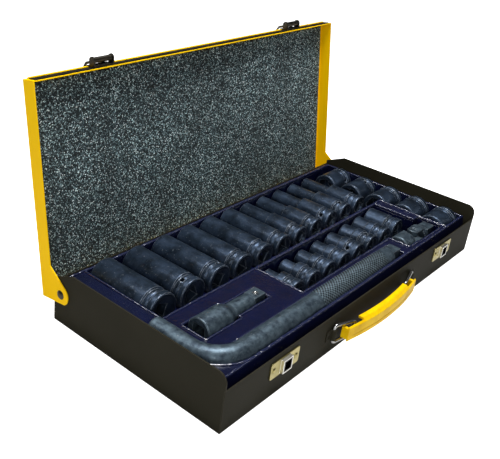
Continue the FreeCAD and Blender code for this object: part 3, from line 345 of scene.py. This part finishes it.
def frame_highlight_window_shade(tree, place, plate):
    """Where a latch plate lies outside its raised frame, and the painted highlight of the frame and painted
    shade of its window.
    """
    low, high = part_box(plate)
    middle = (low + high) / 2
    split = add(tree, "ShaderNodeSeparateXYZ", {0: place})
    across = add(tree, "ShaderNodeMath", {0: split.outputs[0]}, operation="ABSOLUTE")
    from_x = add(tree, "ShaderNodeMath", {0: across.outputs[0], 1: abs(middle.x)}, operation="SUBTRACT")
    from_z = add(tree, "ShaderNodeMath", {0: split.outputs[2], 1: middle.z}, operation="SUBTRACT")
    off_x = add(tree, "ShaderNodeMath", {0: from_x.outputs[0]}, operation="ABSOLUTE")
    off_z = add(tree, "ShaderNodeMath", {0: from_z.outputs[0]}, operation="ABSOLUTE")
    off = add(tree, "ShaderNodeMath", {0: off_x.outputs[0], 1: off_z.outputs[0]}, operation="MAXIMUM")
    outside = add(tree, "ShaderNodeMath", {0: off.outputs[0], 1: FRAME_REACH}, operation="GREATER_THAN")
    window = add(tree, "ShaderNodeMath", {0: off.outputs[0], 1: WINDOW_REACH}, operation="LESS_THAN")
    # The frame is painted near-white as a highlight and its window near-black as shade.
    square = add(tree, "ShaderNodeMix", {"Factor": window.outputs[0], "A": colour("#ECEAE2"),
                                         "B": colour("#1C1714")}, data_type="RGBA")
    return outside.outputs[0], square.outputs["Result"]


def plated_steel(name, base, clouded, dull, latch=None):
    """Zinc-plated steel with handling clouds and fine drawn scratches."""
    material, tree, out = new_material(name)
    place = add(tree, "ShaderNodeTexCoord").outputs["Object"]
    cloud = add(tree, "ShaderNodeTexNoise", {"Vector": place, "Scale": per_metre(6), "Detail": 3.0})
    tint = add(tree, "ShaderNodeMix", {"Factor": cloud.outputs["Fac"], "A": colour(base),
                                       "B": colour(clouded)}, data_type="RGBA")
    if latch:
        outside, square = frame_highlight_window_shade(tree, place, latch)
        tint = add(tree, "ShaderNodeMix", {"Factor": outside, "A": square, "B": tint.outputs["Result"]},
                   data_type="RGBA")
    along = add(tree, "ShaderNodeMapping", {"Vector": place, "Scale": (40, 900, 900)})
    scratch = add(tree, "ShaderNodeTexNoise", {"Vector": along.outputs[0], "Scale": 1.0, "Detail": 2.0})
    round_edge = add(tree, "ShaderNodeBevel", {"Radius": 0.0004}, samples=4)
    bump = add(tree, "ShaderNodeBump", {"Height": scratch.outputs["Fac"], "Strength": 0.08,
                                        "Distance": 0.0001, "Normal": round_edge.outputs[0]})
    rough = add(tree, "ShaderNodeMapRange", {"Value": cloud.outputs["Fac"], "To Min": dull - 0.06,
                                             "To Max": dull + 0.08})
    zinc = add(tree, "ShaderNodeBsdfPrincipled", {
        "Base Color": tint.outputs["Result"], "Metallic": 1.0, "Roughness": rough.outputs[0],
        "Normal": bump.outputs[0]})
    tree.links.new(zinc.outputs[0], out.inputs["Surface"])
    return material


bright_zinc = plated_steel("bright_zinc_plate", "#B4B4B2", "#8E8F90", 0.24)
yellow_zinc = plated_steel("yellow_zinc_plate", "#C2B67C", "#8E8450", 0.3, "left_latch_keeper")
# The same zinc painted dark, as shade, for the hasps and hinge rivets.
zinc_painted_shade = plated_steel("zinc_plate_painted_shade", "#57524A", "#3C3830", 0.34)
print("plated steel ready")


# %% [markdown]
# The grip is moulded in a tough yellow plastic, clouded by fingers, and the strip along the lid's front
# is near black with hardly any shine.

# %% Moulded plastics
def moulded_plastic(name, base, shade, gloss, cloud_mm):
    """Moulded plastic with handling clouds and a fine moulded grain."""
    material, tree, out = new_material(name)
    place = add(tree, "ShaderNodeTexCoord").outputs["Object"]
    cloud = add(tree, "ShaderNodeTexNoise", {"Vector": place, "Scale": per_metre(cloud_mm), "Detail": 4.0})
    dirty = add(tree, "ShaderNodeMapRange", {"Value": cloud.outputs["Fac"], "From Min": 0.45,
                                             "From Max": 0.8})
    tint = add(tree, "ShaderNodeMix", {"Factor": dirty.outputs[0], "A": colour(base),
                                       "B": colour(shade)}, data_type="RGBA")
    grain = add(tree, "ShaderNodeTexNoise", {"Vector": place, "Scale": per_metre(1.0), "Detail": 2.0})
    round_edge = add(tree, "ShaderNodeBevel", {"Radius": 0.0009}, samples=4)
    bump = add(tree, "ShaderNodeBump", {"Height": grain.outputs["Fac"], "Strength": 0.1, "Distance": 0.0002,
                                        "Normal": round_edge.outputs[0]})
    rough = add(tree, "ShaderNodeMapRange", {"Value": cloud.outputs["Fac"], "To Min": gloss - 0.05,
                                             "To Max": gloss + 0.1})
    plastic = add(tree, "ShaderNodeBsdfPrincipled", {
        "Base Color": tint.outputs["Result"], "Roughness": rough.outputs[0], "Normal": bump.outputs[0],
        "Specular IOR Level": 0.12})
    tree.links.new(plastic.outputs[0], out.inputs["Surface"])
    return material


grip_plastic = moulded_plastic("yellow_moulded_plastic", "#F0C400", "#D4A200", 0.4, 16)
near_black_strip = moulded_plastic("near_black_matt_strip", "#15130F", "#221F19", 0.7, 12)
print("moulded plastics ready")


# %% [markdown]
# Every solid piece now takes its finish. The handle's clips are painted with the pan, so they share its
# paint. The edges of the solids are kept sharp and their curved faces smooth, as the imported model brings
# them.

# %% Dress the solids
def finish_for(name):
    """The finish that a solid piece wears."""
    if name in ("base_pan", "left_end_plate", "right_end_plate"):
        return dark_paint
    if name == "lid_shell":
        return yellow_paint
    if name == "lid_front_strip":
        return near_black_strip
    if name == "tool_tray" or name.startswith("tray_"):
        return navy_plastic
    if name == "handle_grip":
        return grip_plastic
    if name in ("bent_drive_bar", "extension_bar") or name.startswith("joint_"):
        return bar_steel
    if "socket_" in name:
        return socket_steel
    if "handle_clip" in name:
        return dark_paint
    # Hasps and hinge rivets take the zinc painted dark as shade.
    if "hasp" in name or name == "hinge_rivets":
        return zinc_painted_shade
    if "latch_keeper" in name:
        return yellow_zinc
    return bright_zinc


for name, piece in nodes.items():
    piece.data.materials.clear()
    piece.data.materials.append(finish_for(name))
print(len(nodes), "solids dressed")


# %% [markdown]
# Where the navy sheet turns down into a well, it rolls into a small bead that is never quite straight.
# Those beads catch the light as broken bright lines. They are found on the tray itself: every edge
# that lies at deck height and has a wall on one side.

# %% Rolled lips of the tray
def rim_loops(piece, height):
    """Closed rows of (point, way off the deck) along a piece's edges at one height."""
    form = bmesh.new()
    form.from_mesh(piece.data)
    form.transform(piece.matrix_world)
    bmesh.ops.remove_doubles(form, verts=form.verts, dist=1e-6)
    form.verts.index_update()
    beside = {}
    for edge in form.edges:
        if len(edge.link_faces) == 2 and all(abs(v.co.z - height) < 1e-5 for v in edge.verts):
            wall, deck = sorted(edge.link_faces, key=lambda face: face.normal.z)
            if deck.normal.z > 0.9 and wall.normal.z < 0.9:
                off = Vector((wall.normal.x, wall.normal.y, 0)).normalized()
                one, two = (v.index for v in edge.verts)
                beside.setdefault(one, []).append((two, off))
                beside.setdefault(two, []).append((one, off))
    form.verts.ensure_lookup_table()
    loops = []
    while beside:
        at = next(iter(beside))
        loop = []
        while at in beside and beside[at]:
            after, off = beside[at].pop(0)
            loop.append((form.verts[at].co.copy(), off))
            if after in beside:
                beside[after] = [link for link in beside[after] if link[0] != at]
            if not beside[at]:
                del beside[at]
            at = after
        beside.pop(at, None)
        loops.append(loop)
    form.free()
    return [loop for loop in loops if len(loop) > 3]


def even_steps(loop, step):
    """The loop's points at even steps along it."""
    points = []
    for (a, off), (b, _) in zip(loop, loop[1:] + loop[:1]):
        count = max(1, round((b - a).length / step))
        points += [(a.lerp(b, i / count), off) for i in range(count)]
    return points


LIP_RADIUS = 0.0011
LIP_RISE = 0.0002
LIP_WAVER = 0.0003


def make_lips(loops, step, sides=8):
    """Beads along every loop, uneven in height and thickness."""
    form = bmesh.new()
    for loop in loops:
        points = even_steps(loop, step)
        rings = []
        for i, (at, off) in enumerate(points):
            off = sum((points[(i + k) % len(points)][1] for k in (-1, 0, 1)), Vector()).normalized()
            wobble = noise.noise(at * per_metre(7)) + 0.6 * noise.noise(at * per_metre(2.5))
            radius = LIP_RADIUS * (1 + 0.2 * wobble)
            middle = at - off * LIP_RADIUS + Vector((0, 0, LIP_WAVER * wobble + LIP_RISE))
            ring = []
            for k in range(sides):
                angle = 2 * math.pi * k / sides
                ring.append(form.verts.new(middle + off * radius * math.cos(angle)
                                           + Vector((0, 0, radius * math.sin(angle)))))
            rings.append(ring)
        for one, two in zip(rings, rings[1:] + rings[:1]):
            for k in range(sides):
                n = (k + 1) % sides
                form.faces.new((one[k], one[n], two[n], two[k]))
    bmesh.ops.recalc_face_normals(form, faces=form.faces)
    return new_piece("tray_lips", form, smooth=True)


rims = rim_loops(nodes["tool_tray"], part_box("tool_tray")[1].z)
lips = make_lips(rims, 0.0016)
lips.data.materials.append(navy_lip)
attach(lips, "case")
print(len(rims), "rims, lips of", len(lips.data.polygons), "faces")


# %% [markdown]
# The open lid stands past upright, and everything on it is easiest to measure as it lies when shut. So
# pieces of the lid are made in the shut lid's place and then swung open about the hinge. The first two
# edge the dark strip: the lid's own yellow stands a little proud behind it, and in front of it the dark
# runs on almost to the folded edge.

# %% Edges of the lid's strip
lid_hinge = next(joint for joint in frame["joints"] if joint["name"] == "lid_hinge")
HINGE = Vector(lid_hinge["pos_m"])
SWING = Matrix.Rotation(math.radians(lid_hinge["range_deg"][0]), 4, "X")


def swung_open(point):
    """A point of the shut lid where the open lid has it."""
    return HINGE + SWING @ (Vector(point) - HINGE)


def swung_shut(point):
    """A point of the open lid where the shut lid has it."""
    return HINGE + SWING.inverted() @ (Vector(point) - HINGE)


def shut_box(name):
    """Lowest and highest corner of a solid of the lid, in the shut lid's place."""
    corners = [swung_shut(v.co) for v in nodes[name].data.vertices]
    return [Vector([pick(c[k] for c in corners) for k in range(3)]) for pick in (min, max)]


def lid_ribbon(name, low, high, material):
    """A straight ribbon along the lid, from two corners given in the shut lid's place."""
    form = bmesh.new()
    bmesh.ops.create_cube(form, size=1.0)
    for vert in form.verts:
        share = vert.co + Vector((0.5, 0.5, 0.5))
        vert.co = swung_open([a + (b - a) * t for a, b, t in zip(low, high, share)])
    ribbon = new_piece(name, form)
    ribbon.data.materials.append(material)
    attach(ribbon, "lid")


BEAD_PROUD, BEAD_LAP, BEAD_WIDTH = 0.0007, 0.0004, 0.0022
FOLD_GAUGE, FOLD_WIDTH = 0.0003, 0.0015
low, high = shut_box("lid_front_strip")
lid_ribbon("lid_corner_bead", (low.x, low.y - BEAD_PROUD, high.z - BEAD_LAP),
           (high.x, high.y, high.z + BEAD_WIDTH), yellow_paint)
lid_ribbon("strip_fold", (low.x, high.y - FOLD_GAUGE, low.z - FOLD_WIDTH),
           (high.x, high.y, low.z), near_black_strip)
print("strip edged from", round(low.x, 3), "to", round(high.x, 3))


# %% [markdown]
# The pad in the lid is a sheet of reconstituted foam: crumbs of grey and black foam pressed together.
# Its face is lumpy, its rim is drawn in where it was cut, and the sockets have left shallow dents. It
# is built as one closed grid, in the place of the plain slab that stands for it among the solids.

# %% Foam pad
PAD_THICKNESS = 0.0026
PAD_RIM = 0.004
PAD_LIFT = 0.0002
CRUMB_RISE = 0.00015
ROLL_RISE = 0.0003
DENT_DEPTH, DENT_HALF_WIDTH, DENT_HALF_LENGTH = 0.0007, 0.006, 0.010
DENT_ROWS = (
    {"middle": 0.022, "left": -0.180, "right": 0.170, "pitch": 0.0335},
    {"middle": -0.040, "left": -0.050, "right": 0.155, "pitch": 0.0284},
)


def pad_depth(x, y):
    """How thick the pad is at a point of the lid, in metres, with crumbs and dents."""
    crumbs = noise.noise(Vector((x, y, 0)) * per_metre(5.5)) * CRUMB_RISE
    crumbs += noise.noise(Vector((x, y, 0.3)) * per_metre(2.6)) * CRUMB_RISE
    rolls = noise.noise(Vector((x, y, 0.7)) * per_metre(45)) * ROLL_RISE
    dent = 0.0
    for row in DENT_ROWS:
        if row["left"] < x < row["right"]:
            across = (x - row["left"]) % row["pitch"] - row["pitch"] / 2
            along = y - row["middle"]
            dent += DENT_DEPTH * math.exp(-(across / DENT_HALF_WIDTH) ** 2 - (along / DENT_HALF_LENGTH) ** 2)
    return PAD_THICKNESS + crumbs + rolls - dent


def make_pad(step):
    """The closed pad: a lumpy face, a drawn-in rim and a flat back, in the slab's box to 0.1 mm."""
    low, high = shut_box("lid_foam")
    left, front = round(low.x, 4), round(low.y, 4)
    right, back, top = round(high.x, 4), round(high.y, 4), round(high.z, 4)
    columns, rows = int((right - left) / step), int((back - front) / step)
    form = bmesh.new()
    grid = []
    for j in range(rows + 1):
        line = []
        for i in range(columns + 1):
            x = left + (right - left) * i / columns
            y = front + (back - front) * j / rows
            inset = min(x - left, right - x, y - front, back - y)
            rim = 1 - min(inset / PAD_RIM, 1)
            depth = pad_depth(x, y) * (1 - 0.55 * rim * rim)
            line.append(form.verts.new(swung_open((x, y, top - depth))))
        grid.append(line)
    for j in range(rows):
        for i in range(columns):
            form.faces.new((grid[j][i], grid[j + 1][i], grid[j + 1][i + 1], grid[j][i + 1]))
    ring = grid[0] + [line[-1] for line in grid[1:]]
    ring += grid[-1][-2::-1] + [line[0] for line in grid[-2:0:-1]]
    behind = []
    for point in [swung_shut(v.co) for v in ring]:
        behind.append(form.verts.new(swung_open((point.x, point.y, top - PAD_LIFT))))
    for i in range(len(ring)):
        j = (i + 1) % len(ring)
        form.faces.new((ring[i], ring[j], behind[j], behind[i]))
    form.faces.new(behind[::-1])
    bmesh.ops.recalc_face_normals(form, faces=form.faces)
    return new_piece("foam_pad", form, smooth=True)


pad = make_pad(0.0017)
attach(pad, "lid")
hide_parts("lid_foam")
print("foam pad of", len(pad.data.polygons), "faces")


# %% [markdown]
# The crumbs are about 1 mm across. A cell pattern gives each crumb its own grey, most of them dark,
# a few nearly white. Each crumb is painted lighter in its middle, as light on the lump, and near black at
# its edge, as shade in the hollows between. A slow cloud and long upright smears make the sheet uneven.

# %% Foam finish
crumb_foam, tree, out = new_material("reconstituted_foam")
place = add(tree, "ShaderNodeTexCoord").outputs["Object"]
cells = add(tree, "ShaderNodeTexVoronoi", {"Vector": place, "Scale": per_metre(0.95), "Randomness": 1.0})
shade = add(tree, "ShaderNodeSeparateColor", {"Color": cells.outputs["Color"]})
ramp = add(tree, "ShaderNodeValToRGB", {"Fac": shade.outputs[0]})
stops = ((0.0, "#0A1113"), (0.5, "#1F2E33"), (0.76, "#5C747A"), (0.92, "#B0CDD0"), (1.0, "#F4FFFF"))
for end, (position, code) in zip(ramp.color_ramp.elements, (stops[0], stops[-1])):
    end.position = position
    end.color = colour(code)
for position, code in stops[1:-1]:
    ramp.color_ramp.elements.new(position).color = colour(code)
# Crumbs painted lighter in the middle and darker to the edge: painted light on the lumps, painted shade in
# the hollows.
crumb_light_and_pit_shade = add(tree, "ShaderNodeMapRange", {"Value": cells.outputs["Distance"], "From Min": 0.2, "From Max": 0.6,
                                        "To Min": 1.25, "To Max": 0.2})
cloud = add(tree, "ShaderNodeTexNoise", {"Vector": place, "Scale": per_metre(55), "Detail": 3.0})
upright = add(tree, "ShaderNodeMapping", {"Vector": place, "Scale": (45, 7, 7)})
smears = add(tree, "ShaderNodeTexNoise", {"Vector": upright.outputs[0], "Scale": 1.0, "Detail": 3.0})
both = add(tree, "ShaderNodeMath", {0: cloud.outputs["Fac"], 1: smears.outputs["Fac"]}, operation="ADD")
uneven = add(tree, "ShaderNodeMapRange", {"Value": both.outputs[0], "From Min": 0.7, "From Max": 1.3,
                                          "To Min": 0.75, "To Max": 1.65})
level = add(tree, "ShaderNodeMath", {0: uneven.outputs[0], 1: crumb_light_and_pit_shade.outputs[0]}, operation="MULTIPLY")
tone = add(tree, "ShaderNodeVectorMath", {0: ramp.outputs["Color"], "Scale": level.outputs[0]},
           operation="SCALE")
lumps = add(tree, "ShaderNodeBump", {"Height": cells.outputs["Distance"], "Strength": 0.4,
                                     "Distance": 0.0005})
foam = add(tree, "ShaderNodeBsdfPrincipled", {
    "Base Color": tone.outputs[0], "Roughness": 0.85, "Normal": lumps.outputs[0], "IOR": 1.45})
tree.links.new(foam.outputs[0], out.inputs["Surface"])
pad.data.materials.append(crumb_foam)
print("foam finish ready")


# %% [markdown]
# The long leg of the bent bar is knurled where the hand holds it. A knurl is a net of small raised
# diamonds rolled into the steel, here 3.8 mm apart, coarser than life so that it shows. It is a thin
# sleeve over the bar whose ends sink into the steel. Its grooves are painted dark as shade, and its diamonds
# paler as lit tops.

# %% Knurled sleeve
BAR_RADIUS = 0.010
KNURL_PITCH = 0.0038
KNURL_LENGTH = 0.118
KNURL_TO_TIP = 0.031
KNURL_RISE, KNURL_SINK = 0.0006, 0.00005
GROOVE_SHARE = 0.4


def make_knurl(left, right, y, z):
    """A sleeve of raised diamonds along X, with its grooves as a second material that is painted shade."""
    around = round(2 * math.pi * BAR_RADIUS / KNURL_PITCH)
    around += around % 2
    columns, rows = around * 4, int((right - left) / (KNURL_PITCH / 4))

    def rise(j, i):
        """How high the diamonds stand at a row and column, from 0 to 1."""
        along = math.pi * (right - left) / KNURL_PITCH * j / rows
        turn = math.pi * around * i / columns
        return min(abs(math.sin(turn + along)), abs(math.sin(turn - along)))

    form = bmesh.new()
    grid = []
    for j in range(rows + 1):
        x = left + (right - left) * j / rows
        fade = min(1.0, 16.0 * min(j, rows - j) / rows)
        line = []
        for i in range(columns):
            angle = 2 * math.pi * i / columns
            r = BAR_RADIUS - KNURL_SINK + KNURL_RISE * rise(j, i) * fade
            line.append(form.verts.new((x, y + r * math.cos(angle), z + r * math.sin(angle))))
        grid.append(line)
    for j in range(rows):
        for i in range(columns):
            k = (i + 1) % columns
            face = form.faces.new((grid[j][i], grid[j][k], grid[j + 1][k], grid[j + 1][i]))
            # Faces low in the grooves take the second material, painted dark as shade.
            face.material_index = 1 if rise(j + 0.5, i + 0.5) < GROOVE_SHARE else 0
    form.faces.new(grid[0][::-1])
    form.faces.new(grid[-1])
    bmesh.ops.recalc_face_normals(form, faces=form.faces)
    return new_piece("bar_knurl", form)


low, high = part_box("bent_drive_bar")
knurl_right = high.x - KNURL_TO_TIP
knurl = make_knurl(knurl_right - KNURL_LENGTH, knurl_right, low.y + BAR_RADIUS, (low.z + high.z) / 2)
knurl.data.materials.append(knurl_lit_tops_steel)
knurl.data.materials.append(knurl_groove_shade_steel)
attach(knurl, "bent_drive_bar")
print("knurl of", len(knurl.data.polygons), "faces")
